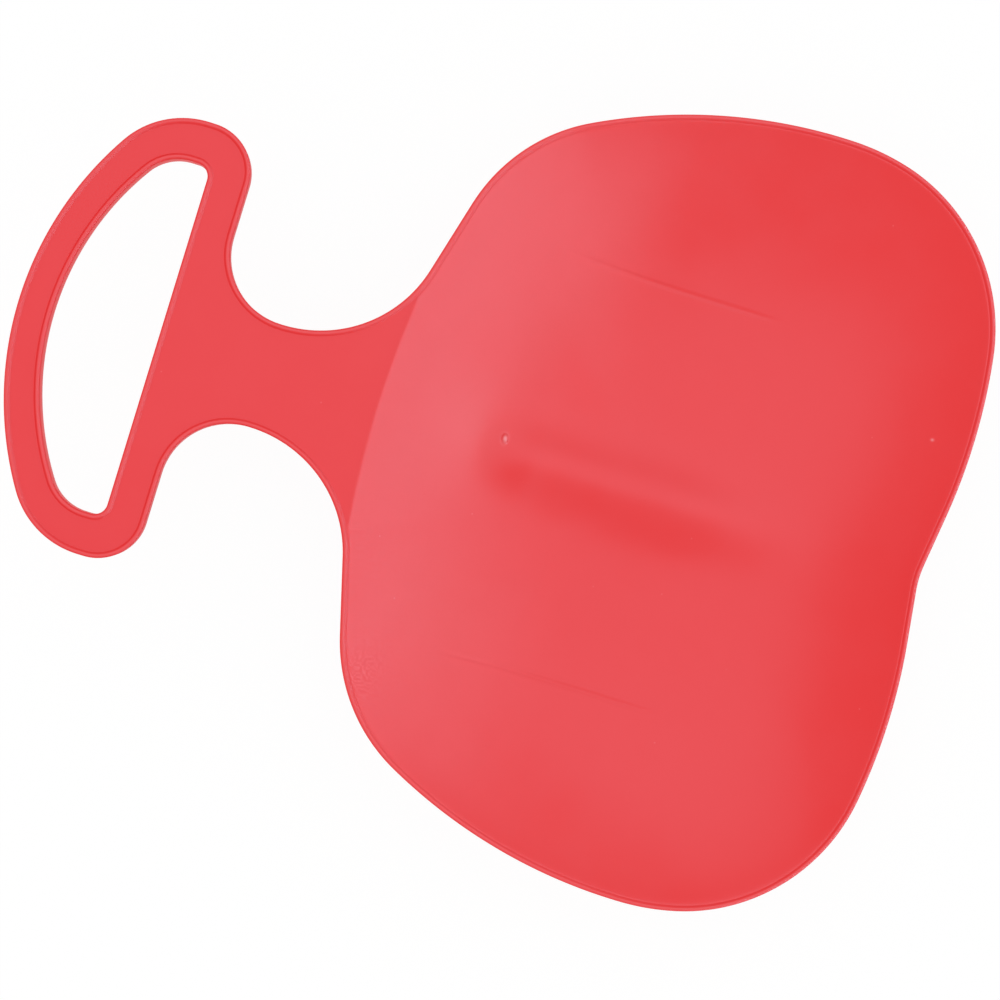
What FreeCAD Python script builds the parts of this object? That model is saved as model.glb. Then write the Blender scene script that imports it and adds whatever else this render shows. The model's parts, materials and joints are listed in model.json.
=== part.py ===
import FreeCAD, Part
import Sketcher
import bisect
import math
import os

from FreeCAD import Placement, Rotation, Vector

# One-piece plastic snow slider: a dished seat, a flat flexing neck and a flat D handle.
# The edge of the whole moulding lies in one plane, the rim plane, which rises towards the handle.
# Rim frame: X forward along the middle line, Y to the rider's left, Z square to the rim plane,
# with the origin on the crease where the flat neck meets the dish. All lengths are millimetres.

SIZES = {
    # Seat outline
    "pan_width": 438,
    "pan_length": 322,
    "notch_radius": 53,
    "notch_depth": 7.3,
    "notch_straight": 30,
    "rear_lobe_spacing": 160,
    "rear_lobe_sweep": 8.6,
    "rear_corner_radius": 105,
    "side_rear_sweep": 13.5,
    "widest_lead": 114.5,
    "side_front_sweep": 28,
    "front_edge_angle": 75,
    "front_edge_length": 43,
    "root_width": 134,
    "root_setback": 2.4,
    "crease_radius": 553,
    # Neck outline
    "root_fillet_radius": 70,
    "neck_width": 58,
    "neck_straight": 1,
    "neck_fillet_radius": 37.5,
    # Handle outline
    "handle_width": 242,
    "shoulder_radius": 26,
    "handle_end_straight": 3.2,
    "handle_corner_radius": 48,
    "handle_tip_radius": 186.5,
    # Hand opening
    "grip_width": 18.5,
    "handle_end_width": 23,
    "opening_end_radius": 7,
    "opening_end_straight": 3.5,
    "opening_corner_radius": 25,
    "opening_tip_radius": 157,
    # Sheet and edge wall
    "sheet": 2.6,
    "rim_width": 2.6,
    "rim_height": 8,
    "rim_rise": 1,
    "rim_round": 0.9,
    # Dish
    "rim_pitch": 4,
    "dish_depth": 44,
    "dish_centre_setback": 165,
    "dish_power": 4,
    "dish_front_power": 2.3,
    "dish_brim": 0.5,
    "ridge_height": 8,
    "ridge_half_width": 20,
    "ridge_setback": 57,
    "ridge_nose": 38,
    "ridge_length": 210,
    "ridge_fade": 95,
    # Runners
    "runner_spacing": 236,
    "runner_setback": 66,
    "runner_length": 156,
    "runner_width": 6,
    "runner_tip": 30,
    "runner_rise": 14,
    "ground_clearance": 4,
    # Flexing neck
    "bend_setback": 36,
    "bend_pitch": 18,
    "front_segment_length": 14,
}

# Spacing of the points that carry the dish surface, of those that trace its edge and of its slope's samples
SURFACE_STEP = 8.0
EDGE_STEP = 0.5
SLOPE_STEP = 0.5

# The wall is gentle straight ahead and full at the sides: the cosines, from straight ahead, between which it changes
FULL_WALL_COSINE = 0.15
GENTLE_WALL_COSINE = 0.75

# Points closer together than this are one point
SAME_PLACE = 1e-4

# The seat's sheet never has more plastic than this many times its plan area at full thickness
SHELL_LIMIT = 2

doc = FreeCAD.newDocument("SnowSlider")
sheet = doc.addObject("Spreadsheet::Sheet", "Sizes")
for row, (alias, value) in enumerate(SIZES.items(), start=1):
    sheet.set(f"A{row}", alias)
    sheet.set(f"B{row}", str(value))
    sheet.setAlias(f"B{row}", alias)
doc.recompute()


def size(alias):
    return float(sheet.get(alias))


def bind(feature, **expressions):
    for name, expression in expressions.items():
        feature.setExpression(name, expression)


def turn_size(alias):
    return math.radians(size(alias))


# Outlines: chains of tangent arcs and straights, drawn as left halves from the rear to the front

class Arc:
    """One arc of an outline that keeps its material on the right hand."""

    def __init__(self, reach, centre, start, end, concave, alias):
        self.reach = reach
        self.centre = centre
        self.start = start
        self.end = end
        self.concave = concave
        self.alias = alias

    def radius(self, inset):
        return self.reach + (inset if self.concave else -inset)

    def point(self, angle, inset):
        return self.centre + self.radius(inset) * Vector(math.cos(angle), math.sin(angle), 0)

    def mirrored(self):
        flipped = Vector(self.centre.x, -self.centre.y, 0)
        return Arc(self.reach, flipped, -self.end, -self.start, self.concave, self.alias)

    def points(self, inset, step):
        sweep = self.end - self.start
        count = max(2, math.ceil(abs(sweep) * self.radius(inset) / step))
        return [self.point(self.start + sweep * i / count, inset) for i in range(count + 1)]


class Pen:
    """Draws an outline from the middle line outwards. Right turns bulge, left turns are hollow."""

    def __init__(self, x):
        self.place = Vector(x, 0, 0)
        self.heading = math.pi / 2
        self.arcs = []

    def straight(self, length):
        self.place = self.place + length * Vector(math.cos(self.heading), math.sin(self.heading), 0)

    def turn(self, reach, angle, alias=None):
        """An arc of that radius, to the left where the angle is positive."""
        concave = angle > 0
        start = self.heading + (-math.pi / 2 if concave else math.pi / 2)
        centre = self.place - reach * Vector(math.cos(start), math.sin(start), 0)
        arc = Arc(reach, centre, start, start + angle, concave, alias)
        self.arcs.append(arc)
        self.place = arc.point(arc.end, 0)
        self.heading += angle

    def left(self, alias, angle):
        self.turn(size(alias), angle, alias)

    def right(self, alias, angle):
        self.turn(size(alias), -angle, alias)


def straight_points(start, end, step):
    count = max(1, math.ceil(start.distanceToPoint(end) / step))
    return [start + (end - start) * (i / count) for i in range(count + 1)]


def radius_pair(first, second, travel):
    """The two radii whose arcs, with those unit travels, add up to the whole travel."""
    spread = first.x * second.y - first.y * second.x
    return ((travel.x * second.y - travel.y * second.x) / spread,
            (first.x * travel.y - first.y * travel.x) / spread)


def arc_travel(start, end):
    """How far a unit arc that turns right moves forwards and outwards between two headings."""
    return Vector(math.sin(start) - math.sin(end), math.cos(end) - math.cos(start), 0)


def draw_seat():
    """The seat's edge: rear notch, rear lobe, side, front edge and the fillet into the neck."""
    quarter = math.pi / 2
    lobe_y = size("rear_lobe_spacing") / 2
    rear = -size("pan_length")
    pen = Pen(rear + size("notch_depth"))

    # Notch: hollow, then a straight, then the inner half of the lobe, level with where it began
    straight = size("notch_straight")
    slant = 2 * math.atan(size("notch_depth") / (lobe_y + straight))
    inner_lobe = (lobe_y - straight * math.cos(slant)) / math.sin(slant) - size("notch_radius")
    pen.left("notch_radius", slant)
    pen.straight(straight)
    pen.turn(inner_lobe, -slant)

    # Rear corner: the outer lobe and the rear of the side take the radii that reach the widest place
    widest = Vector(rear + size("widest_lead"), size("pan_width") / 2, 0)
    corner_start = quarter - turn_size("rear_lobe_sweep")
    corner_end = turn_size("side_rear_sweep")
    corner = size("rear_corner_radius") * arc_travel(corner_start, corner_end)
    outer_lobe, side_rear = radius_pair(arc_travel(quarter, corner_start), arc_travel(corner_end, 0),
                                        widest - pen.place - corner)
    pen.turn(outer_lobe, corner_start - quarter)
    pen.right("rear_corner_radius", corner_start - corner_end)
    pen.turn(side_rear, -corner_end)

    # Front: the side and the front corner take the radii that meet the straight front edge
    edge = turn_size("front_edge_angle")
    edge_line = Vector(math.cos(edge), -math.sin(edge), 0)
    fillet_top = size("neck_width") / 2 + size("root_fillet_radius") * (1 - math.cos(edge))
    root_corner = Vector(-size("root_setback"), size("root_width") / 2, 0)
    fillet_start = root_corner + edge_line * ((root_corner.y - fillet_top) / math.sin(edge))
    edge_start = fillet_start - size("front_edge_length") * edge_line
    side_end = -turn_size("side_front_sweep")
    side_front, front_corner = radius_pair(arc_travel(0, side_end), arc_travel(side_end, -edge),
                                           edge_start - widest)
    pen.turn(side_front, side_end)
    pen.turn(front_corner, -edge - side_end)
    pen.straight(size("front_edge_length"))
    pen.left("root_fillet_radius", edge)
    return pen


def tip_turn(half_width, corner_alias, tip_alias):
    """How far the big arc at the front of the handle or of its opening turns, up to the middle line."""
    return math.asin((half_width - size(corner_alias)) / (size(tip_alias) - size(corner_alias)))


def draw_handle(pen):
    """The neck's side and the handle's edge, on from the seat to the tip."""
    quarter = math.pi / 2
    half_width = size("handle_width") / 2
    tip = tip_turn(half_width, "handle_corner_radius", "handle_tip_radius")
    pen.straight(size("neck_straight"))
    pen.left("neck_fillet_radius", quarter)
    pen.straight(half_width - size("shoulder_radius") - pen.place.y)
    pen.right("shoulder_radius", quarter)
    pen.straight(size("handle_end_straight"))
    pen.right("handle_corner_radius", quarter - tip)
    pen.right("handle_tip_radius", tip)
    return pen


def draw_opening(handle_tip):
    """The hand opening, one grip behind the tip of the handle and one end inside each end of it."""
    quarter = math.pi / 2
    half_width = size("handle_width") / 2 - size("handle_end_width")
    tip = tip_turn(half_width, "opening_corner_radius", "opening_tip_radius")
    corner_reach = (size("opening_tip_radius") - size("opening_corner_radius")) * math.cos(tip)
    corner_x = handle_tip - size("grip_width") - size("opening_tip_radius") + corner_reach
    pen = Pen(corner_x - size("opening_end_straight") - size("opening_end_radius"))
    pen.straight(half_width - size("opening_end_radius"))
    pen.right("opening_end_radius", quarter)
    pen.straight(size("opening_end_straight"))
    pen.right("opening_corner_radius", quarter - tip)
    pen.right("opening_tip_radius", tip)
    return pen


SEAT_EDGE = draw_seat().arcs
WHOLE = draw_handle(draw_seat())
WHOLE_EDGE = WHOLE.arcs
HANDLE_TIP = WHOLE.place.x
OPENING_EDGE = draw_opening(HANDLE_TIP).arcs


def rim_frame():
    """Where the rim frame sits in the part: pitched nose up, standing on its runners, centred in X."""
    pitch = turn_size("rim_pitch")
    wall_below = size("rim_height") - size("rim_rise")
    front = HANDLE_TIP * math.cos(pitch) + wall_below * math.sin(pitch)
    rear = -size("pan_length") * math.cos(pitch) - size("rim_rise") * math.sin(pitch)
    floor_under = size("dish_depth") + size("sheet")
    lift = size("ground_clearance") + floor_under * math.cos(pitch)
    lift += size("dish_centre_setback") * math.sin(pitch)
    tilt = Rotation(Vector(0, 1, 0), -size("rim_pitch"))
    return Placement(Vector(-(front + rear) / 2, 0, lift), tilt)


RIM = rim_frame()


def closed_loop(half):
    """Both halves of an outline, with an arc that crosses the middle line made whole."""
    arcs = list(half)
    tip = arcs.pop()
    loop = [Arc(tip.reach, tip.centre, tip.start, -tip.start, tip.concave, tip.alias)]
    first = arcs[0]
    crossing = abs(first.centre.y) < SAME_PLACE
    if crossing:
        arcs.pop(0)
    whole = list(arcs) + loop + [arc.mirrored() for arc in reversed(arcs)]
    if crossing:
        whole.append(Arc(first.reach, first.centre, -first.end, first.end, first.concave, first.alias))
    return whole


def outline_sketch(name, half, inset, inset_expression):
    """A closed sketch in the rim plane, moved inwards from an outline by the inset."""
    sketch = doc.addObject("Sketcher::SketchObject", name)
    sketch.Placement = RIM
    up = Vector(0, 0, 1)
    pieces = []
    loop = closed_loop(half)
    for arc, following in zip(loop, loop[1:] + loop[:1]):
        circle = Part.Circle(arc.centre, up, arc.radius(inset))
        forward = arc.end > arc.start
        low, high = sorted((arc.start, arc.end))
        index = sketch.addGeometry(Part.ArcOfCircle(circle, low, high), False)
        radius = sketch.addConstraint(Sketcher.Constraint("Radius", index, arc.radius(inset)))
        if arc.alias:
            sign = "+" if arc.concave else "-"
            sketch.setExpression(f"Constraints[{radius}]", f"Sizes.{arc.alias} {sign} {inset_expression}")
        pieces.append((index, 1, 2) if forward else (index, 2, 1))
        leave = arc.point(arc.end, inset)
        arrive = following.point(following.start, inset)
        if leave.distanceToPoint(arrive) > SAME_PLACE:
            index = sketch.addGeometry(Part.LineSegment(leave, arrive), False)
            pieces.append((index, 1, 2))
    for piece, following in zip(pieces, pieces[1:] + pieces[:1]):
        ends = (piece[0], piece[2], following[0], following[1])
        sketch.addConstraint(Sketcher.Constraint("Coincident", *ends))
    return sketch


def prism(name, sketch, above, below):
    """A block on a rim-plane sketch, from the height below to the height above."""
    block = doc.addObject("Part::Extrusion", name)
    block.Base = sketch
    block.DirMode = "Normal"
    block.Solid = True
    bind(block, LengthFwd=above, LengthRev=below)
    return block


def boolean(kind, name, base, tool):
    result = doc.addObject(f"Part::{kind}", name)
    result.Base = base
    result.Tool = tool
    return result


def slice_between(name, stock, rear, front):
    """The part of the stock between two stations along the middle line."""
    box = doc.addObject("Part::Box", name + "_slice")
    bind(box, Length=f"{front} - ({rear})", Width="2 * Sizes.pan_width", Height="4 * Sizes.rim_height")
    corner = Vector(sheet.evalExpression(rear), -size("pan_width"), -2 * size("rim_height"))
    box.Placement = RIM.multiply(Placement(corner, Rotation()))
    return boolean("Common", name, stock, box)


def rounded_top(name, stock, height, radius):
    """The stock with the edges of its top face rounded."""
    doc.recompute()
    level = RIM.inverse()
    edges = []
    for index, edge in enumerate(stock.Shape.Edges, start=1):
        heights = [level.multVec(vertex.Point).z for vertex in edge.Vertexes]
        if all(abs(z - height) < SAME_PLACE for z in heights):
            edges.append((index, radius, radius))
    fillet = doc.addObject("Part::Fillet", name)
    fillet.Base = stock
    fillet.Edges = edges
    return fillet


# Dish surface

def dish_edge():
    """Direction and distance, from the dish centre, of the points along the left half of its edge."""
    inset = size("rim_width") - size("dish_brim")
    centre = Vector(-size("dish_centre_setback"), 0, 0)
    points = []
    for arc, following in zip(SEAT_EDGE, SEAT_EDGE[1:]):
        points += arc.points(inset, EDGE_STEP)
        points += straight_points(points[-1], following.point(following.start, inset), EDGE_STEP)
    spokes = [point - centre for point in points]
    spokes.sort(key=lambda spoke: math.atan2(max(spoke.y, 0), spoke.x))
    return [math.atan2(max(spoke.y, 0), spoke.x) for spoke in spokes], [spoke.Length for spoke in spokes]


EDGE_ANGLES, EDGE_REACHES = dish_edge()


def crease_reach(angle):
    """Distance from the dish centre to the crease, in a forward direction."""
    radius = size("crease_radius")
    offset = radius + size("dish_brim") - size("dish_centre_setback")
    reach = radius + size("dish_brim")
    return -offset * math.cos(angle) + math.sqrt((offset * math.cos(angle))**2 - offset**2 + reach**2)


def edge_reach(angle):
    index = bisect.bisect_left(EDGE_ANGLES, angle)
    if index == 0:
        return crease_reach(angle)
    if index == len(EDGE_ANGLES):
        return EDGE_REACHES[-1]
    low, high = EDGE_ANGLES[index - 1], EDGE_ANGLES[index]
    share = (angle - low) / (high - low) if high > low else 0
    rim = EDGE_REACHES[index - 1] + share * (EDGE_REACHES[index] - EDGE_REACHES[index - 1])
    return min(rim, crease_reach(angle)) if angle < math.pi / 2 else rim


def smooth_step(value):
    value = min(max(value, 0), 1)
    return value * value * (3 - 2 * value)


def dish_height(x, y):
    """Height of the dish's upper face: a flat level floor whose walls curve up to the edge, and a ridge."""
    from_centre = x + size("dish_centre_setback")
    depth = size("dish_depth") + from_centre * math.tan(turn_size("rim_pitch"))
    out = math.hypot(from_centre, y)
    spread = out / edge_reach(math.atan2(abs(y), from_centre))
    cosine = from_centre / max(out, SAME_PLACE)
    ahead = smooth_step((cosine - FULL_WALL_COSINE) / (GENTLE_WALL_COSINE - FULL_WALL_COSINE))
    power = size("dish_power") + (size("dish_front_power") - size("dish_power")) * ahead
    wall = 1 - spread**power if spread < 1 else power * (1 - spread)
    behind = -size("ridge_setback") - x
    swell = smooth_step(behind / size("ridge_nose"))
    swell *= smooth_step((size("ridge_length") - behind) / size("ridge_fade"))
    ridge = size("ridge_height") * swell * math.exp(-(y / size("ridge_half_width"))**2)
    return ridge - depth * wall


def underside_height(x, y):
    """The lower face, one sheet thickness below the upper one, measured square to it."""
    step = SLOPE_STEP
    slope_x = (dish_height(x + step, y) - dish_height(x - step, y)) / (2 * step)
    slope_y = (dish_height(x, y + step) - dish_height(x, y - step)) / (2 * step)
    return dish_height(x, y) - size("sheet") * math.sqrt(1 + slope_x**2 + slope_y**2)


def below_surface(name, height, margin, depth):
    """Everything under a height rule, down to a depth below it, over the whole seat."""
    rear = -size("pan_length") - margin
    half_width = size("pan_width") / 2 + margin
    rows = math.ceil((margin - rear) / SURFACE_STEP)
    columns = 2 * math.ceil(half_width / SURFACE_STEP)
    grid = []
    for row in range(rows + 1):
        x = rear + (margin - rear) * row / rows
        across = [half_width * (2 * column / columns - 1) for column in range(columns + 1)]
        grid.append([Vector(x, y, height(x, y)) for y in across])
    surface = Part.BSplineSurface()
    surface.interpolate(grid)
    body = doc.addObject("Part::Feature", name)
    body.Shape = surface.toShape().extrude(Vector(0, 0, -depth))
    body.Placement = RIM
    return body


# Shared stock: the edge wall, the flat web inside it and the block that the dish is cut from

ABOVE = "Sizes.rim_rise"
BELOW = "Sizes.rim_height - Sizes.rim_rise"
THROUGH = "2 * Sizes.rim_height"

edge_sketch = outline_sketch("edge_sketch", WHOLE_EDGE, 0, "0")
field_sketch = outline_sketch("field_sketch", WHOLE_EDGE, size("rim_width"), "Sizes.rim_width")
opening_sketch = outline_sketch("opening_sketch", OPENING_EDGE, 0, "0")
hole_sketch = outline_sketch("hole_sketch", OPENING_EDGE, -size("rim_width"), "(-Sizes.rim_width)")

crease = doc.addObject("Part::Cylinder", "crease")
bind(crease, Radius="Sizes.crease_radius", Height="6 * Sizes.dish_depth")
crease_foot = Vector(-size("crease_radius"), 0, -3 * size("dish_depth"))
crease.Placement = RIM.multiply(Placement(crease_foot, Rotation()))

edge_block = prism("edge_block", edge_sketch, ABOVE, BELOW)
field_block = prism("field_block", field_sketch, THROUGH, THROUGH)
square_wall = boolean("Cut", "square_wall", edge_block, field_block)
edge_wall = rounded_top("edge_wall", square_wall, size("rim_rise"), size("rim_round"))

hole_block = prism("hole_block", hole_sketch, THROUGH, THROUGH)
web_block = prism("web_block", field_sketch, "0", "Sizes.sheet")
front_web = boolean("Cut", "front_web", web_block, crease)
web = boolean("Cut", "web", front_web, hole_block)

dish_top = below_surface("dish_top", dish_height, 2 * size("rim_width"), 3 * size("dish_depth"))
dish_under = below_surface("dish_under", underside_height, 3 * size("rim_width"), 4 * size("dish_depth"))


# Sub-parts: each function's object carries the name of its node

def make_seat_pan():
    block = prism("pan_block", field_sketch, "Sizes.dish_depth", "2 * Sizes.dish_depth")
    seat_block = boolean("Common", "seat_block", block, crease)
    filled_seat = boolean("Common", "filled_seat", seat_block, dish_top)
    return boolean("Cut", "seat_pan", filled_seat, dish_under)


def make_neck_root():
    plate = slice_between("root_plate", web, "-Sizes.root_width", "Sizes.bend_setback")
    walls = slice_between("root_walls", edge_wall, "0", "Sizes.bend_setback")
    return boolean("Fuse", "neck_root", plate, walls)


def make_opening_rim():
    outer = prism("opening_block", hole_sketch, ABOVE, BELOW)
    inner = prism("opening_cut", opening_sketch, THROUGH, THROUGH)
    square_ring = boolean("Cut", "square_ring", outer, inner)
    return rounded_top("opening_rim", square_ring, size("rim_rise"), size("rim_round"))


def runner_profile(sketch):
    """Side view of a keel: a flat foot, a ramp at each end, and a top that runs up into the seat."""
    length, tip, rise = size("runner_length"), size("runner_tip"), size("runner_rise")
    height = size("dish_depth")
    corners = [(tip, 0), (length - tip, 0), (length, rise), (length, height), (0, height), (0, rise)]
    count = len(corners)
    for index in range(count):
        start, end = corners[index], corners[(index + 1) % count]
        sketch.addGeometry(Part.LineSegment(Vector(*start, 0), Vector(*end, 0)), False)
    foot, front_ramp, front_end, top, rear_end, rear_ramp = range(count)
    for index in range(count):
        sketch.addConstraint(Sketcher.Constraint("Coincident", index, 2, (index + 1) % count, 1))
    for flat in (foot, top):
        sketch.addConstraint(Sketcher.Constraint("Horizontal", flat))
    for upright in (front_end, rear_end):
        sketch.addConstraint(Sketcher.Constraint("Vertical", upright))
    bound = [
        (Sketcher.Constraint("DistanceX", -1, 1, foot, 1, tip), "Sizes.runner_tip"),
        (Sketcher.Constraint("DistanceX", foot, 1, foot, 2, length - 2 * tip),
         "Sizes.runner_length - 2 * Sizes.runner_tip"),
        (Sketcher.Constraint("DistanceX", front_ramp, 1, front_ramp, 2, tip), "Sizes.runner_tip"),
        (Sketcher.Constraint("DistanceX", rear_ramp, 1, rear_ramp, 2, tip), "Sizes.runner_tip"),
        (Sketcher.Constraint("DistanceY", front_ramp, 1, front_ramp, 2, rise), "Sizes.runner_rise"),
        (Sketcher.Constraint("DistanceY", rear_ramp, 2, rear_ramp, 1, rise), "Sizes.runner_rise"),
        (Sketcher.Constraint("DistanceY", front_end, 1, front_end, 2, height - rise),
         "Sizes.dish_depth - Sizes.runner_rise"),
    ]
    sketch.addConstraint(Sketcher.Constraint("PointOnObject", foot, 1, -1))
    for constraint, expression in bound:
        index = sketch.addConstraint(constraint)
        sketch.setExpression(f"Constraints[{index}]", expression)


def make_runner(name, side):
    """A keel on one side of the middle line, trimmed to the underside of the seat."""
    body = doc.addObject("PartDesign::Body", name + "_body")
    sketch = body.newObject("Sketcher::SketchObject", name + "_profile")
    plane = next(item for item in body.Origin.OriginFeatures if item.Role == "XZ_Plane")
    sketch.AttachmentSupport = [(plane, "")]
    sketch.MapMode = "FlatFace"
    runner_profile(sketch)
    pad = body.newObject("PartDesign::Pad", name + "_pad")
    pad.Profile = sketch
    pad.SideType = "Symmetric"
    bind(pad, Length="Sizes.runner_width")
    front = RIM.multVec(Vector(-size("runner_setback"), 0, 0)).x
    corner = Vector(front - size("runner_length"), side * size("runner_spacing") / 2, 0)
    body.Placement = Placement(corner, Rotation())
    return boolean("Common", name, body, dish_under)


neck_stock = boolean("Fuse", "neck_stock", web, edge_wall)
FIRST_BEND = "Sizes.bend_setback"
SECOND_BEND = "Sizes.bend_setback + Sizes.bend_pitch"
THIRD_BEND = "Sizes.bend_setback + 2 * Sizes.bend_pitch"
TWIST = THIRD_BEND + " + Sizes.front_segment_length"
HANDLE_END = TWIST + " + Sizes.handle_width"

sub_parts = [
    make_seat_pan(),
    slice_between("pan_rim", edge_wall, "-2 * Sizes.pan_length", "0"),
    make_runner("runner_left", 1),
    make_runner("runner_right", -1),
    make_neck_root(),
    slice_between("neck_rear_segment", neck_stock, FIRST_BEND, SECOND_BEND),
    slice_between("neck_middle_segment", neck_stock, SECOND_BEND, THIRD_BEND),
    slice_between("neck_front_segment", neck_stock, THIRD_BEND, TWIST),
    slice_between("handle_plate", web, TWIST, HANDLE_END),
    slice_between("handle_rim", edge_wall, TWIST, HANDLE_END),
    make_opening_rim(),
]
doc.recompute()

for item in doc.Objects:
    if {"Invalid", "Error"} & set(item.State):
        raise RuntimeError(f"{item.Label} could not be built: {item.State}")
for item in sub_parts:
    if item.Shape.isNull() or not item.Shape.isValid() or len(item.Shape.Solids) != 1:
        raise RuntimeError(f"{item.Label} is not one valid solid")
seat_pan = sub_parts[0]
if seat_pan.Shape.Volume > SHELL_LIMIT * size("sheet") * size("pan_width") * size("pan_length"):
    raise RuntimeError("seat_pan was not cut down to a sheet")

os.makedirs("parts", exist_ok=True)
for item in sub_parts:
    item.Shape.exportStep(f"parts/{item.Label}.step")
    box = item.Shape.BoundBox
    print(f"{item.Label}: {item.Shape.Volume / 1000:.2f} cm3, "
          f"X {box.XMin:.2f} to {box.XMax:.2f}, Y {box.YMin:.2f} to {box.YMax:.2f}, "
          f"Z {box.ZMin:.2f} to {box.ZMax:.2f}")
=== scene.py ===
import json
import math

import bmesh
import bpy
from mathutils import Matrix, Vector
from mathutils.bvhtree import BVHTree
from mathutils.geometry import delaunay_2d_cdt


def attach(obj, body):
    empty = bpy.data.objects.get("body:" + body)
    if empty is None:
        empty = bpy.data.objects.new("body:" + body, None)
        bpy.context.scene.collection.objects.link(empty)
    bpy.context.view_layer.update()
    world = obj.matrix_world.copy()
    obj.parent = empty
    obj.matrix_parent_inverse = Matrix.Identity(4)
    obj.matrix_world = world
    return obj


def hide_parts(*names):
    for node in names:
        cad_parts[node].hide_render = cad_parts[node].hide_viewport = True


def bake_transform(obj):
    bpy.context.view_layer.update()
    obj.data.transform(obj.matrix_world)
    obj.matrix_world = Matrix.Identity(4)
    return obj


# A one-piece red plastic snow slider: a dished seat, a flat flexing neck and a flat D handle.
# The edge of the whole moulding lies in one plane, the rim plane, which rises towards the handle.
# Rim frame: X forward along the middle line, Y to the rider's left, Z square to the rim plane,
# with the origin on the crease where the flat neck meets the dish. Lengths are metres.

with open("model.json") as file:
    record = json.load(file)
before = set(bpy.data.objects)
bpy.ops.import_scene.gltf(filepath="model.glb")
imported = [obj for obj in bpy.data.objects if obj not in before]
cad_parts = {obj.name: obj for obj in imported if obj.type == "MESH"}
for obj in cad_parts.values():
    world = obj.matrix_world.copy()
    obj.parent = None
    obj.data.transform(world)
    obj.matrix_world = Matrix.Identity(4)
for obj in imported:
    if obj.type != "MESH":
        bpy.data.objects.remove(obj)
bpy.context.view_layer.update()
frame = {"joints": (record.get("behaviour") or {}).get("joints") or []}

MM = 0.001
QUARTER = math.pi / 2

# Seat outline
PAN_WIDTH = 438 * MM
PAN_LENGTH = 322 * MM
NOTCH_RADIUS = 53 * MM
NOTCH_DEPTH = 7.3 * MM
NOTCH_STRAIGHT = 30 * MM
REAR_LOBE_SPACING = 160 * MM
REAR_LOBE_SWEEP = math.radians(8.6)
REAR_CORNER_RADIUS = 105 * MM
SIDE_REAR_SWEEP = math.radians(13.5)
WIDEST_LEAD = 114.5 * MM
SIDE_FRONT_SWEEP = math.radians(28)
FRONT_EDGE_ANGLE = math.radians(75)
FRONT_EDGE_LENGTH = 43 * MM
ROOT_WIDTH = 134 * MM
ROOT_SETBACK = 2.4 * MM
CREASE_RADIUS = 553 * MM

# Neck and handle outline
ROOT_FILLET_RADIUS = 70 * MM
NECK_WIDTH = 58 * MM
NECK_STRAIGHT = 1 * MM
NECK_FILLET_RADIUS = 37.5 * MM
HANDLE_WIDTH = 242 * MM
SHOULDER_RADIUS = 26 * MM
HANDLE_END_STRAIGHT = 3.2 * MM
HANDLE_CORNER_RADIUS = 48 * MM
HANDLE_TIP_RADIUS = 186.5 * MM

# Hand opening
GRIP_WIDTH = 18.5 * MM
HANDLE_END_WIDTH = 23 * MM
OPENING_END_RADIUS = 7 * MM
OPENING_END_STRAIGHT = 3.5 * MM
OPENING_CORNER_RADIUS = 25 * MM
OPENING_TIP_RADIUS = 157 * MM

# Sheet and edge bead
SHEET = 2.6 * MM
BEAD = {
    "Wall width": 2.6 * MM,
    "Rise": 1 * MM,
    "Drop": 7 * MM,
    "Sheet": SHEET,
    "Brim": 0.9 * MM,
    "Lean": 1.2 * MM,
    "Foot round": 0.5 * MM,
    "Inner round": 0.8 * MM,
    "Outer round": 1.3 * MM,
    "Lower round": 0.6 * MM,
    "Round steps": 4,
}
FOOT_INSET = BEAD["Wall width"] + BEAD["Brim"]

# Dish
DISH_CENTRE = -165 * MM
DISH = {
    "Centre": DISH_CENTRE,
    "Depth": 44 * MM,
    "Floor slope": math.tan(math.radians(4)),
    "Power": 4.0,
    "Front power": 2.3,
    "Front start": 0.15,
    "Front end": 0.75,
    "Ridge height": 8 * MM,
    "Ridge half width": 20 * MM,
    "Ridge start": 57 * MM,
    "Ridge nose": 38 * MM,
    "Ridge length": 210 * MM,
    "Ridge fade": 95 * MM,
    "Sheet": SHEET,
    "Rows": 80,
    "Row crowding": 1.6,
    "Reach blur": 60,
    "Softness blur": 8,
}
# How far the dish rounds off at its rim and at the crease, and how many times deeper the rounding dies out
RIM_SOFTNESS = 0.3 * MM
CREASE_SOFTNESS = 1.2 * MM
SOFT_REACH = 14
# How closely the evened outline of the dish holds to its edge near the rim
EDGE_HOLD = 8
CREASE_STEPS = 48
BOW_REACH = 22 * MM

# Keels under the seat
KEEL_SPACING = 236 * MM
KEEL = {
    "Front": -66 * MM,
    "Length": 156 * MM,
    "Half width": 3 * MM,
    "Tip": 30 * MM,
    "Tip rise": 14 * MM,
    "Bite": 1.2 * MM,
    "Flare": 2.5 * MM,
    "Side": 0.0,
    "Stations": 72,
}
KEEL_ROUND = 0.5
KEEL_CLIMB = 1.15
KEEL_POINTS = 14
FLARE_STEP = 0.35
# Rays that look up for the seat's underside start this far below the ground
RAY_START = -0.1
RAY_REACH = 1.0

# Mark of the injection gate at the ridge's nose
GATE_PLACE = Vector((-73.8 * MM, -7.1 * MM))
GATE_PROFILE = ((2.8, -0.8), (2.2, 0.05), (1.8, 0.25), (1.5, 0.9), (1.15, 1.5), (0.65, 1.75))
GATE_OVAL = 1.5
# Reach of the painted highlight on the gate's stub
GATE_HIGHLIGHT_REACH = 1.7 * MM
GATE_TURN = math.radians(8)
GATE_STEPS = 28

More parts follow.
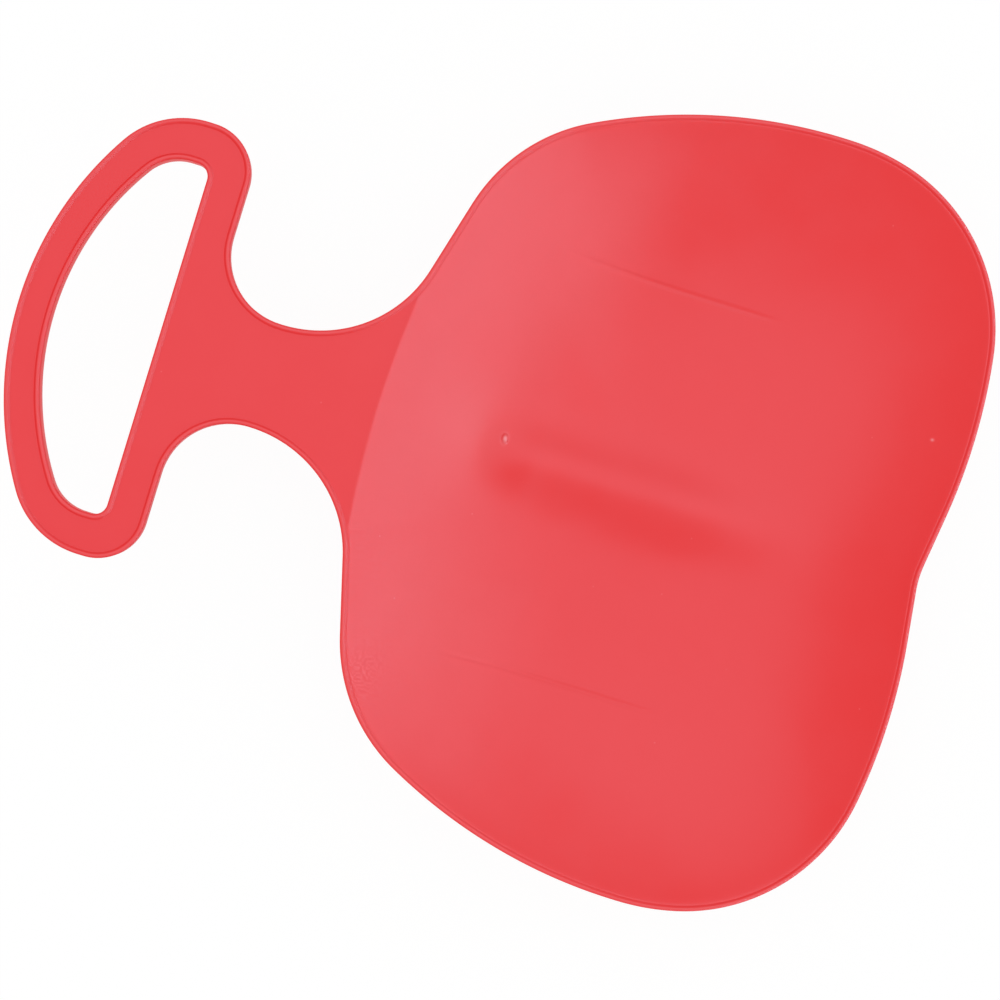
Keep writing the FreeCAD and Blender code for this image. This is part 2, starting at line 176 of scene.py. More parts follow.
# Finish
RED_NECK = (0.80, 0.009, 0.012, 1)
# Darker red for the painted shade along the edge bead's flanks
RED_PAINTED_SHADE = (0.76, 0.001, 0.003, 1)
# The dish's lighter red is painted sheen, standing in for the stronger gloss the dish shows over the neck
RED_DISH_PAINTED_SHEEN = (0.81, 0.013, 0.016, 1)
RED_CLOUD = (0.81, 0.022, 0.027, 1)
RED_PALE = (0.88, 0.22, 0.24, 1)
WHITE = (1, 1, 1, 1)
PLASTIC_IOR = 1.5
SATIN = 0.38
GRAIN_ROUGHNESS = 0.07
CREASE_FADE = 0.5 * MM
CLOUD_SCALE = 24
CLOUD_DETAIL = 3.0
CLOUD_BAND = (0.3, 0.7)
CLOUD_SHARE = 0.5
CLOUD_ROUGHNESS = 0.05
WAVE_HEIGHT = 0.3 * MM
PEEL_SCALE = 1100
PEEL_HEIGHT = 0.006 * MM
PEEL_IN_DISH = 0.3
PEEL_ON_GRAIN = 2.0
# Painted sheen: a lighter spot on the dish's front slope, before the ridge's nose
SHEEN_SPOT_PLACE = (-52 * MM, -8 * MM)
SHEEN_SPOT_REACH = (22 * MM, 26 * MM)
SHEEN_SPOT_SHARE = 0.1

# Sink marks in the seat, over the keels
SINK_DEPTH = 0.33 * MM
SINK_WIDTH = 1.4 * MM
SINK_FRONT = -66 * MM
SINK_REAR = -212 * MM
SINK_FADE = 30 * MM

# Specks: a pip near the rear edge and settled dust
PIP_PLACE = (-302.8 * MM, -76.7 * MM)
PIP_RADIUS = 0.8 * MM
PIP_SHARE = 0.9
DUST_SCALE = 38.0
DUST_BAND = (0.012, 0.026)
DUST_SHARE = 0.2

# Edge bead's colour, by height as a share of its rise: a painted highlight on top, painted shade on its
# flanks
# Share of pale red for the painted highlight along the bead's top
BEAD_PAINTED_HIGHLIGHT = 0.13
BEAD_TOP = (0.8, 1.0)
BEAD_FOOT = (0.01, 0.1)
BEAD_SHOULDER = (0.4, 0.85)

# Scratches on what slides: faces that look down, low above the ground
UNDERSIDE_BAND = (-0.5, -0.1)
WEAR_BAND = (1 * MM, 30 * MM)
SCRATCH_SCALE = 9
SCRATCH_DETAIL = 4.0
SCRATCH_STRETCH = (1, 60, 60)
SCRATCH_BAND = (0.56, 0.7)
SCRATCH_SHARE = 0.5
SCRATCH_ROUGHNESS = 0.2
SCRATCH_DEPTH = 0.05 * MM

# Flexing neck: the stations where one piece of the skin hands over to the next
BENDS = 3
BEND_SETBACK = 36 * MM
BEND_PITCH = 18 * MM
TWIST_SETBACK = 86 * MM
TWIST_END = 97 * MM

# Camera: straight above, with the sled's rear turned to the right of the picture
CAMERA_PLACE = (-17.07 * MM, 26.88 * MM, 906.5 * MM)
CAMERA_TURN = math.radians(180 + 17.056)
CAMERA_LENS = 56.19
SENSOR_WIDTH = 36

# Light: even surroundings, and soft lamps behind and above the sled that only gloss sees.
# Each lamp is a disc of the sky: where it is, how wide it is from its middle, and its level.
LIGHT_LEVEL = 1.0
LAMPS = {
    "window": ((-1, 0.03, 0.1), math.radians(54), 1.35),
    "window_middle": ((-1, 0.16, 0.25), math.radians(34), 1.1),
    "window_end": ((-0.61, -0.79, 0.4), math.radians(20), 0.7),
    "ceiling": ((-0.03, -0.27, 1), math.radians(29), 1.1),
}
LAMP_TINT = (0.72, 1.0, 1.22)
FLOOR_GLOW = 0.95
FLOOR_REACH = 4.0

# Spacing of the points along the edge
EDGE_STEP = 3 * MM
EDGE_TURN = math.radians(4)
WELD = 5e-6
INSIDE_ONLY = 1

joints = {joint["name"]: joint for joint in frame["joints"]}
forward = Vector(joints["neck_twist"]["axis"]).normalized()
leftward = Vector((0, 1, 0))
upward = forward.cross(leftward)
rim_origin = Vector(joints["neck_twist"]["pos_m"]) - TWIST_SETBACK * forward + SHEET / 2 * upward
RIM = Matrix((forward, leftward, upward)).transposed().to_4x4()
RIM.translation = rim_origin


# Outline: a pen that keeps the plastic on its right hand

class EdgePen:
    """Draws half an outline from the middle line outwards, as points and inward directions."""

    def __init__(self, x):
        self.place = Vector((x, 0))
        self.heading = QUARTER
        self.points = [(self.place.copy(), self.inward())]

    def inward(self):
        return Vector((math.sin(self.heading), -math.cos(self.heading)))

    def straight(self, length):
        steps = max(1, math.ceil(length / EDGE_STEP - 1e-6))
        start = self.place.copy()
        along = Vector((math.cos(self.heading), math.sin(self.heading)))
        for step in range(1, steps + 1):
            self.place = start + along * (length * step / steps)
            self.points.append((self.place.copy(), self.inward()))

    def turn(self, radius, angle):
        """Turns left, hollow, where the angle is positive, and right, bulging, where it is negative."""
        steps = max(2, math.ceil(abs(angle) * max(radius / EDGE_STEP, 1 / EDGE_TURN)))
        side = -1 if angle > 0 else 1
        centre = self.place + self.inward() * (radius * side)
        for _ in range(steps):
            self.heading += angle / steps
            self.place = centre - self.inward() * (radius * side)
            self.points.append((self.place.copy(), self.inward()))


def arc_travel(start, end):
    """How far a unit arc that turns right moves forwards and outwards between two headings."""
    return Vector((math.sin(start) - math.sin(end), math.cos(end) - math.cos(start)))


def radius_pair(first, second, travel):
    """The two radii whose arcs, with those unit travels, add up to the whole travel."""
    spread = first.cross(second)
    return travel.cross(second) / spread, first.cross(travel) / spread


def crease_x(y):
    return -CREASE_RADIUS + math.sqrt(CREASE_RADIUS**2 - y**2)


def turn_to_crease(pen):
    """How far the fillet beside the neck has turned where its bead's foot meets the crease."""
    centre = pen.place - pen.inward() * ROOT_FILLET_RADIUS
    low, high = 0, FRONT_EDGE_ANGLE
    while high - low > WELD:
        middle = (low + high) / 2
        heading = pen.heading + middle
        inward = Vector((math.sin(heading), -math.cos(heading)))
        place = centre + inward * (ROOT_FILLET_RADIUS + FOOT_INSET)
        if place.x < crease_x(place.y):
            low = middle
        else:
            high = middle
    return low


def draw_outer_edge():
    """The left half of the outer edge, and how many of its points lie behind the crease."""
    lobe_y = REAR_LOBE_SPACING / 2
    pen = EdgePen(-PAN_LENGTH + NOTCH_DEPTH)
    slant = 2 * math.atan(NOTCH_DEPTH / (lobe_y + NOTCH_STRAIGHT))
    inner_lobe = (lobe_y - NOTCH_STRAIGHT * math.cos(slant)) / math.sin(slant) - NOTCH_RADIUS
    pen.turn(NOTCH_RADIUS, slant)
    pen.straight(NOTCH_STRAIGHT)
    pen.turn(inner_lobe, -slant)

    widest = Vector((-PAN_LENGTH + WIDEST_LEAD, PAN_WIDTH / 2))
    corner_start = QUARTER - REAR_LOBE_SWEEP
    corner = REAR_CORNER_RADIUS * arc_travel(corner_start, SIDE_REAR_SWEEP)
    outer_lobe, side_rear = radius_pair(arc_travel(QUARTER, corner_start), arc_travel(SIDE_REAR_SWEEP, 0),
                                        widest - pen.place - corner)
    pen.turn(outer_lobe, -REAR_LOBE_SWEEP)
    pen.turn(REAR_CORNER_RADIUS, SIDE_REAR_SWEEP - corner_start)
    pen.turn(side_rear, -SIDE_REAR_SWEEP)

    edge_line = Vector((math.cos(FRONT_EDGE_ANGLE), -math.sin(FRONT_EDGE_ANGLE)))
    fillet_top = NECK_WIDTH / 2 + ROOT_FILLET_RADIUS * (1 - math.cos(FRONT_EDGE_ANGLE))
    root_corner = Vector((-ROOT_SETBACK, ROOT_WIDTH / 2))
    fillet_start = root_corner + edge_line * ((root_corner.y - fillet_top) / math.sin(FRONT_EDGE_ANGLE))
    edge_start = fillet_start - FRONT_EDGE_LENGTH * edge_line
    side_front, front_corner = radius_pair(arc_travel(0, -SIDE_FRONT_SWEEP),
                                           arc_travel(-SIDE_FRONT_SWEEP, -FRONT_EDGE_ANGLE),
                                           edge_start - widest)
    pen.turn(side_front, -SIDE_FRONT_SWEEP)
    pen.turn(front_corner, SIDE_FRONT_SWEEP - FRONT_EDGE_ANGLE)

    pen.straight(FRONT_EDGE_LENGTH)
    to_crease = turn_to_crease(pen)
    pen.turn(ROOT_FILLET_RADIUS, to_crease)
    behind_crease = len(pen.points)
    pen.turn(ROOT_FILLET_RADIUS, FRONT_EDGE_ANGLE - to_crease)

    half_width = HANDLE_WIDTH / 2
    tip = tip_turn(half_width, HANDLE_CORNER_RADIUS, HANDLE_TIP_RADIUS)
    pen.straight(NECK_STRAIGHT)
    pen.turn(NECK_FILLET_RADIUS, QUARTER)
    pen.straight(half_width - SHOULDER_RADIUS - pen.place.y)
    pen.turn(SHOULDER_RADIUS, -QUARTER)
    pen.straight(HANDLE_END_STRAIGHT)
    pen.turn(HANDLE_CORNER_RADIUS, tip - QUARTER)
    pen.turn(HANDLE_TIP_RADIUS, -tip)
    return pen.points, behind_crease


def tip_turn(half_width, corner_radius, tip_radius):
    """How far the big arc at the front of the handle or of its opening turns, up to the middle line."""
    return math.asin((half_width - corner_radius) / (tip_radius - corner_radius))


def draw_opening_edge(handle_tip):
    """The left half of the hand opening, with its directions turned into the plastic round it."""
    half_width = HANDLE_WIDTH / 2 - HANDLE_END_WIDTH
    tip = tip_turn(half_width, OPENING_CORNER_RADIUS, OPENING_TIP_RADIUS)
    corner_reach = (OPENING_TIP_RADIUS - OPENING_CORNER_RADIUS) * math.cos(tip)
    corner_x = handle_tip - GRIP_WIDTH - OPENING_TIP_RADIUS + corner_reach
    pen = EdgePen(corner_x - OPENING_END_STRAIGHT - OPENING_END_RADIUS)
    pen.straight(half_width - OPENING_END_RADIUS)
    pen.turn(OPENING_END_RADIUS, -QUARTER)
    pen.straight(OPENING_END_STRAIGHT)
    pen.turn(OPENING_CORNER_RADIUS, tip - QUARTER)
    pen.turn(OPENING_TIP_RADIUS, -tip)
    return [(place, -inward) for place, inward in pen.points]


def flipped(point):
    return Vector((point[0], -point[1]))


def whole_loop(half):
    """Both halves of an outline. Its first point and its middle one lie on the middle line."""
    other = [(flipped(place), flipped(inward)) for place, inward in reversed(half[1:-1])]
    return half + other


def foot(point):
    """Where the bead's foot meets the sheet."""
    place, inward = point
    return place + inward * FOOT_INSET


# Node graphs: arithmetic on wires adds the nodes

class Wire:
    """A node's output. Arithmetic on it adds Math nodes, or Vector Math nodes where it carries a vector."""

    def __init__(self, graph, socket):
        self.graph = graph
        self.socket = socket

    def also(self, output):
        return Wire(self.graph, self.socket.node.outputs[output])

    def is_vector(self):
        return self.socket.type == "VECTOR"

    def maths(self, operation, *values):
        vector = any(isinstance(value, Wire) and value.is_vector() for value in values)
        kind = "ShaderNodeVectorMath" if vector else "ShaderNodeMath"
        output = "Value" if operation == "LENGTH" else 0
        return self.graph.node(kind, {"operation": operation}, dict(enumerate(values)), output)

    def scaled(self, factor):
        return self.graph.node("ShaderNodeVectorMath", {"operation": "SCALE"}, {0: self, "Scale": factor})

    def __add__(self, other):
        return self.maths("ADD", self, other)

    def __radd__(self, other):
        return self.maths("ADD", other, self)

    def __sub__(self, other):
        return self.maths("SUBTRACT", self, other)

    def __rsub__(self, other):
        return self.maths("SUBTRACT", other, self)

    def __mul__(self, other):
        if self.is_vector() and not (isinstance(other, Wire) and other.is_vector()):
            return self.scaled(other)
        return self.maths("MULTIPLY", self, other)

    def __rmul__(self, other):
        return self * other

    def __truediv__(self, other):
        return self.maths("DIVIDE", self, other)

    def __rtruediv__(self, other):
        return self.maths("DIVIDE", other, self)

    def __pow__(self, other):
        return self.maths("POWER", self, other)

    def __neg__(self):
        return self * -1

    def __mod__(self, other):
        return self.maths("MODULO", self, other)

    def __gt__(self, other):
        return self.maths("GREATER_THAN", self, other)

    def one(self, operation):
        return self.maths(operation, self)

    def most(self, other):
        return self.maths("MAXIMUM", self, other)

    def least(self, other):
        return self.maths("MINIMUM", self, other)


class Graph:
    """A node tree that is written as expressions."""

    def __init__(self, tree):
        self.tree = tree

    def node(self, kind, settings=None, inputs=None, output=0):
        made = self.tree.nodes.new(kind)
        for name, value in (settings or {}).items():
            setattr(made, name, value)
        for key, value in (inputs or {}).items():
            if isinstance(value, Wire):
                self.tree.links.new(value.socket, made.inputs[key])
            else:
                made.inputs[key].default_value = value
        return Wire(self, made.outputs[output])

    def smooth(self, value, start, end):
        settings = {"interpolation_type": "SMOOTHSTEP"}
        return self.node("ShaderNodeMapRange", settings, {"Value": value, "From Min": start, "From Max": end})


class ShapeGraph(Graph):
    """A Geometry Nodes tree with named inputs for its sizes."""

    SOCKETS = {int: "NodeSocketInt", float: "NodeSocketFloat"}

    def __init__(self, name, sizes):
        super().__init__(bpy.data.node_groups.new(name, "GeometryNodeTree"))
        sockets = self.tree.interface
        sockets.new_socket("Geometry", in_out="INPUT", socket_type="NodeSocketGeometry")
        sockets.new_socket("Geometry", in_out="OUTPUT", socket_type="NodeSocketGeometry")
        for label, value in sizes.items():
            sockets.new_socket(label, in_out="INPUT", socket_type=self.SOCKETS[type(value)])
        self.start = self.tree.nodes.new("NodeGroupInput")

    def given(self, label):
        return Wire(self, self.start.outputs[label])

    def index(self):
        return self.node("GeometryNodeInputIndex")

    def position(self):
        return self.node("GeometryNodeInputPosition")

    def split(self, vector):
        return self.node("ShaderNodeSeparateXYZ", None, {0: vector})

    def point(self, x, y, z):
        return self.node("ShaderNodeCombineXYZ", None, {0: x, 1: y, 2: z})

    def attribute(self, name, data_type):
        return self.node("GeometryNodeInputNamedAttribute", {"data_type": data_type}, {"Name": name})

    def sample(self, geometry, value, index, data_type="FLOAT_VECTOR"):
        inputs = {"Geometry": geometry, "Value": value, "Index": index}
        return self.node("GeometryNodeSampleIndex", {"data_type": data_type}, inputs)

    def blurred(self, value, steps):
        inputs = {"Value": value, "Iterations": steps, "Weight": 1.0}
        return self.node("GeometryNodeBlurAttribute", {"data_type": "FLOAT"}, inputs)

    def count(self, geometry):
        return self.node("GeometryNodeAttributeDomainSize", {"component": "MESH"}, {0: geometry})

    def choose(self, data_type, values, index=None):
        """One of the values, by the index of the point or by another whole number."""
        made = self.tree.nodes.new("GeometryNodeIndexSwitch")
        made.data_type = data_type
        while len(made.index_switch_items) < len(values):
            made.index_switch_items.new()
        self.tree.links.new((index or self.index()).socket, made.inputs[0])
        for socket, value in zip(made.inputs[1:], values):
            if isinstance(value, Wire):
                self.tree.links.new(value.socket, socket)
            else:
                socket.default_value = value
        return Wire(self, made.outputs[0])

    def grid(self, columns, rows):
        """A grid of loose places, with the column and the row of each."""
        sizes = {"Vertices X": columns, "Vertices Y": rows}
        mesh = self.node("GeometryNodeMeshGrid", None, sizes, "Mesh")
        column = ((self.index() + 0.5) / rows).one("FLOOR")
        return mesh, column, self.index() - column * rows

    def welded(self, geometry):
        return self.node("GeometryNodeMergeByDistance", None, {"Geometry": geometry, "Distance": WELD})

    def moved(self, geometry, position):
        return self.node("GeometryNodeSetPosition", None, {"Geometry": geometry, "Position": position})

    def finish(self, geometry, material):
        real = self.node("GeometryNodeRealizeInstances", None, {"Geometry": geometry})
        clad = self.node("GeometryNodeSetMaterial", None, {"Geometry": real, "Material": material})
        end = self.tree.nodes.new("NodeGroupOutput")
        self.tree.links.new(clad.socket, end.inputs[0])


def loop_mesh(name, places, vectors=None, numbers=None):
    """A closed line of points, with what each point carries, for a tree to work on."""
    edges = [(i, (i + 1) % len(places)) for i in range(len(places))]
    mesh = bpy.data.meshes.new(name)
    mesh.from_pydata([(*place, 0) for place in places], edges, [])
    for label, values in (vectors or {}).items():
        carried = mesh.attributes.new(label, "FLOAT_VECTOR", "POINT")
        for item, value in zip(carried.data, values):
            item.vector = (*value, 0)
    for label, values in (numbers or {}).items():
        carried = mesh.attributes.new(label, "FLOAT", "POINT")
        for item, value in zip(carried.data, values):
            item.value = value
    return mesh


def grown(name, graph, mesh, sizes):
    """What a tree makes of a mesh, as a plain mesh."""
    piece = bpy.data.objects.new(name, mesh)
    bpy.context.scene.collection.objects.link(piece)
    modifier = piece.modifiers.new(name, "NODES")
    modifier.node_group = graph.tree
    for item in graph.tree.interface.items_tree:
        if item.in_out == "INPUT" and item.name in sizes:
            modifier[item.identifier] = sizes[item.name]
    view = bpy.context.evaluated_depsgraph_get()
    made = bpy.data.meshes.new_from_object(piece.evaluated_get(view), depsgraph=view)
    piece.modifiers.remove(modifier)
    bpy.data.objects.remove(piece)
    return made


# Finish

class FinishGraph(Graph):
    """A material's node tree, which reads the place on the object."""

    def __init__(self, material):
        super().__init__(material.node_tree)
        self.object_place = self.node("ShaderNodeTexCoord", output="Object")
        self.shader = self.tree.nodes["Principled BSDF"]

    def noise(self, scale, detail=1.0, stretch=None):
        place = self.object_place
        if stretch:
            place = self.node("ShaderNodeMapping", None, {"Vector": place, "Scale": stretch})
        return self.node("ShaderNodeTexNoise", None, {"Vector": place, "Scale": scale, "Detail": detail})

    def mix(self, share, first, second):
        """A blend of two colours, whose sockets come after the Mix node's ones for numbers and vectors."""
        inputs = {"Factor": share, 6: first, 7: second}
        return self.node("ShaderNodeMix", {"data_type": "RGBA"}, inputs, 2)

    def hump(self, value, centre, reach):
        """A smooth rise from nothing to 1 and back round a centre."""
        ratio = (value - centre) / reach
        return (-(ratio * ratio)).one("EXPONENT")

    def spot(self, x, y, centre, reach):
        return self.hump(x, centre[0], reach[0]) * self.hump(y, centre[1], reach[1])

    def feed(self, label, wire):
        self.tree.links.new(wire.socket, self.shader.inputs[label])


def red_plastic():
    """Satin moulded polyethylene: polished in the dish, finely grained on the neck and the handle; its colour
    also carries painted sheen, painted highlights and painted shade.
    """
    material = bpy.data.materials.new("red_polyethylene")
    material.use_nodes = True
    graph = FinishGraph(material)
    rim_frame = {"Location": RIM.translation, "Rotation": RIM.to_euler()}
    in_rim = graph.node("ShaderNodeMapping", {"vector_type": "TEXTURE"},
                        {"Vector": graph.object_place, **rim_frame})
    x = graph.node("ShaderNodeSeparateXYZ", None, {0: in_rim})
    y, z = x.also("Y"), x.also("Z")
    from_middle = x + CREASE_RADIUS
    past_crease = (from_middle * from_middle + y * y).one("SQRT") - CREASE_RADIUS
    dish = 1 - graph.smooth(past_crease, -CREASE_FADE, CREASE_FADE)
    grained = 1 - dish

    clouds = graph.smooth(graph.noise(CLOUD_SCALE, CLOUD_DETAIL), *CLOUD_BAND)
    # A lighter spot of painted sheen on the front slope
    painted_sheen_spot = graph.spot(x, y, SHEEN_SPOT_PLACE, SHEEN_SPOT_REACH) * dish
    past_rear = graph.smooth(x, SINK_REAR, SINK_REAR + SINK_FADE)
    past_front = graph.smooth(x, SINK_FRONT - SINK_FADE, SINK_FRONT)
    sink = graph.hump(y.one("ABSOLUTE"), KEEL_SPACING / 2, SINK_WIDTH) * past_rear * (1 - past_front)

    facing = graph.node("ShaderNodeSeparateXYZ", None, {0: graph.node("ShaderNodeTexCoord", output="Normal")})
    ground = graph.node("ShaderNodeSeparateXYZ", None, {0: graph.object_place}).also("Z")
    underneath = 1 - graph.smooth(facing.also("Z"), *UNDERSIDE_BAND)
    worn = underneath * (1 - graph.smooth(ground, *WEAR_BAND))
    lines = graph.noise(SCRATCH_SCALE, SCRATCH_DETAIL, SCRATCH_STRETCH)
    scratch = graph.smooth(lines, *SCRATCH_BAND) * worn

    pip = graph.spot(x, y, PIP_PLACE, (PIP_RADIUS, PIP_RADIUS))
    # A painted highlight on the gate's stub, beside the real pip and dust
    painted_gate_highlight = graph.spot(x, y, GATE_PLACE, (GATE_HIGHLIGHT_REACH, GATE_HIGHLIGHT_REACH * GATE_OVAL))
    cells = {"Vector": graph.object_place, "Scale": DUST_SCALE}
    dust = 1 - graph.smooth(graph.node("ShaderNodeTexVoronoi", None, cells, "Distance"), *DUST_BAND)
    specks_and_gate_highlight = (pip * PIP_SHARE).most(dust * DUST_SHARE).most(painted_gate_highlight)

    bead_height = z / BEAD["Rise"]
    # Painted highlight along the bead's top, painted shade along its flanks
    bead_top = graph.smooth(bead_height, *BEAD_TOP)
    bead_painted_shade = graph.smooth(bead_height, *BEAD_FOOT) * (1 - graph.smooth(bead_height, *BEAD_SHOULDER))
    # The dish's lighter red over the neck's is painted sheen; the clouds are random tone
    colour = graph.mix(clouds * CLOUD_SHARE, graph.mix(dish, RED_NECK, RED_DISH_PAINTED_SHEEN), RED_CLOUD)
    colour = graph.mix(bead_painted_shade, colour, RED_PAINTED_SHADE)
    # Paler red for real scratches, dust and the pip, and for the painted highlights on the gate and the bead
    # and the painted sheen spot
    pale = (scratch * SCRATCH_SHARE).most(specks_and_gate_highlight).most(bead_top * BEAD_PAINTED_HIGHLIGHT) + painted_sheen_spot * SHEEN_SPOT_SHARE
    graph.feed("Base Color", graph.mix(pale, colour, RED_PALE))
    uneven = clouds * CLOUD_ROUGHNESS + grained * GRAIN_ROUGHNESS + scratch * SCRATCH_ROUGHNESS
    graph.feed("Roughness", SATIN + uneven)

    peel = PEEL_HEIGHT * (PEEL_IN_DISH + (PEEL_ON_GRAIN - PEEL_IN_DISH) * grained)
    height = graph.noise(CLOUD_SCALE) * WAVE_HEIGHT + graph.noise(PEEL_SCALE) * peel
    height = height - sink * SINK_DEPTH - scratch * SCRATCH_DEPTH
    relief = {"Strength": 1.0, "Distance": 1.0, "Height": height}
    graph.feed("Normal", graph.node("ShaderNodeBump", None, relief))
    graph.shader.inputs["IOR"].default_value = PLASTIC_IOR
    return material


RED = red_plastic()


# Edge bead: one section swept along an outline

def bead_graph():
    graph = ShapeGraph("edge_bead", BEAD)
    wall, brim, rise = (graph.given(label) for label in ("Wall width", "Brim", "Rise"))
    below, under = -graph.given("Drop"), -graph.given("Sheet")
    inner, lower = graph.given("Foot round"), graph.given("Lower round")
    lean = graph.given("Lean") / 2
    corners = [(wall + brim, 0), (wall + lean, 0), (wall - lean, rise), (0, rise),
               (0, below), (wall, below), (wall, under), (wall + brim, under)]
    rounds = [0, inner, graph.given("Inner round"), graph.given("Outer round"), lower, lower, inner, 0]
    line = graph.node("GeometryNodeMeshLine", None, {"Count": len(corners)})
    line = graph.node("GeometryNodeMeshToCurve", None, {0: line})
    line = graph.moved(line, graph.choose("VECTOR", [graph.point(x, y, 0) for x, y in corners]))
    line = graph.node("GeometryNodeFilletCurve", {"mode": "POLY"},
                      {"Curve": line, "Count": graph.given("Round steps"),
                       "Radius": graph.choose("FLOAT", rounds)})
    section = graph.node("GeometryNodeCurveToMesh", None, {"Curve": line})

    edge = graph.given("Geometry")
    stations, rows = graph.count(edge), graph.count(section)
    strip, column, row = graph.grid(stations + 1, rows)
    station = column % stations
    place = graph.sample(edge, graph.position(), station)
    inward = graph.sample(edge, graph.attribute("inward", "FLOAT_VECTOR"), station)
    across = graph.split(graph.sample(section, graph.position(), row))
    swept = graph.moved(strip, place + inward * across + graph.point(0, 0, across.also("Y")))
    graph.finish(graph.welded(swept), RED)
    return graph


# Dish: spokes from its centre out to the bead's foot and the crease, with a height rule along each

def dish_graph():
    graph = ShapeGraph("dish", DISH)
    centre_x, rows = graph.given("Centre"), graph.given("Rows")
    centre = graph.point(centre_x, 0, 0)
    edge = graph.given("Geometry")
    spokes = graph.count(edge)
    field, column, row = graph.grid(spokes + 1, rows + 1)
    spoke = column % spokes

    outwards = graph.sample(edge, graph.position() - centre, spoke)
    reach = outwards.one("LENGTH")
    own_reach = (graph.position() - centre).one("LENGTH")
    even_reach = graph.sample(edge, graph.blurred(own_reach, graph.given("Reach blur")), spoke, "FLOAT")
    softness = graph.blurred(graph.attribute("softness", "FLOAT"), graph.given("Softness blur"))
    softness = graph.sample(edge, softness, spoke, "FLOAT")

    share = 1 - (1 - row / rows) ** graph.given("Row crowding")
    place = graph.split(outwards * share)
    from_centre, y = place, place.also("Y")
    spread = share * reach / (even_reach + (reach - even_reach) * share**EDGE_HOLD)
    depth = graph.given("Depth") + from_centre * graph.given("Floor slope")
    ahead = graph.smooth(graph.split(outwards) / reach, graph.given("Front start"), graph.given("Front end"))
    power = graph.given("Power") + (graph.given("Front power") - graph.given("Power")) * ahead
    wall = depth * (1 - spread ** power)
    near = wall / (softness * SOFT_REACH)
    soft_wall = (wall * wall + softness * softness).one("SQRT") - softness * (-(near * near)).one("EXPONENT")

    behind = -graph.given("Ridge start") - centre_x - from_centre
    swell = graph.smooth(behind, 0.0, graph.given("Ridge nose"))
    fade = graph.smooth(graph.given("Ridge length") - behind, 0.0, graph.given("Ridge fade"))
    ratio = y / graph.given("Ridge half width")
    ridge = graph.given("Ridge height") * swell * fade * (-(ratio * ratio)).one("EXPONENT")

    field = graph.node("GeometryNodeStoreNamedAttribute", {"data_type": "FLOAT", "domain": "POINT"},
                       {"Geometry": field, "Name": "share", "Value": share})
    upper = graph.moved(field, graph.point(centre_x + from_centre, y, ridge - soft_wall))
    upper = graph.welded(upper)
    level = graph.split(graph.node("GeometryNodeInputNormal")).also("Z").one("ABSOLUTE")
    at_edge = graph.attribute("share", "FLOAT") > 1 - WELD
    thickness = graph.given("Sheet") / (level + (1 - level) * at_edge)
    downwards = {"Geometry": upper, "Offset": graph.point(0, 0, -thickness)}
    lower = graph.node("GeometryNodeSetPosition", None, downwards)
    lower = graph.node("GeometryNodeFlipFaces", None, {0: lower})
    both = graph.node("GeometryNodeJoinGeometry")
    for side in (upper, lower):
        graph.tree.links.new(side.socket, both.socket.node.inputs[0])
    graph.finish(both, RED)
    return graph


def sheet_faces(bm, rows):
    """Quads between rows of places on the flat sheet, on its upper and its lower face."""
    for height in (0, -SHEET):
        lines = [[bm.verts.new((*place, height)) for place in row] for row in rows]
        for near, far in zip(lines, lines[1:]):
            for i in range(len(near) - 1):
                bm.faces.new((near[i], near[i + 1], far[i + 1], far[i]))


def neck_rows(half, behind_crease, last):
    """Rows across the flat neck, from the crease to the handle."""
    ends = [foot(point) for point in half[behind_crease - 1:last + 1]]
    shares = [2 * step / CREASE_STEPS - 1 for step in range(CREASE_STEPS + 1)]
    bow = [crease_x(share * ends[0].y) - crease_x(ends[0].y) for share in shares]
    rows = []
    for end in ends:
        kept = max(0, 1 - (end.x - ends[0].x) / BOW_REACH)
        rows.append([Vector((end.x + kept * x, share * end.y)) for share, x in zip(shares, bow)])
    return rows


def handle_web(bm, outer, opening):
    """The flat web between the handle's edge and its opening, on its upper and its lower face."""
    places = outer + opening
    ring = [(i, (i + 1) % len(outer)) for i in range(len(outer))]
    hole = [(len(outer) + i, len(outer) + (i + 1) % len(opening)) for i in range(len(opening))]
    triangles = delaunay_2d_cdt([place / MM for place in places], ring + hole, [], INSIDE_ONLY, WELD)[2]
    web = [corners for corners in triangles if min(corners) < len(outer)]
    for height in (0, -SHEET):
        verts = [bm.verts.new((*place, height)) for place in places]
        for corners in web:
            bm.faces.new([verts[i] for i in corners])


half_edge, behind_crease = draw_outer_edge()
outer_edge = whole_loop(half_edge)
opening_edge = whole_loop(draw_opening_edge(half_edge[-1][0].x))
# The last point of the neck's edge, where the handle's web begins
neck_end = max(i for i, point in enumerate(half_edge)
               if i > behind_crease and foot(point).x < TWIST_END and point[0].y < HANDLE_WIDTH / 4)


def seat_loop():
    """The dish's edge: along the bead's foot from one end of the crease to the other, and back along it."""
    feet = [foot(point) for point in half_edge[:behind_crease]]
    feet = [flipped(place) for place in reversed(feet[1:])] + feet
    crease_y = feet[-1].y
    ys = [crease_y * (1 - 2 * step / CREASE_STEPS) for step in range(1, CREASE_STEPS)]
    crease = [Vector((crease_x(y), y)) for y in ys]
    softness = [RIM_SOFTNESS] * len(feet) + [CREASE_SOFTNESS] * len(crease)
    return loop_mesh("seat_loop", feet + crease, numbers={"softness": softness})


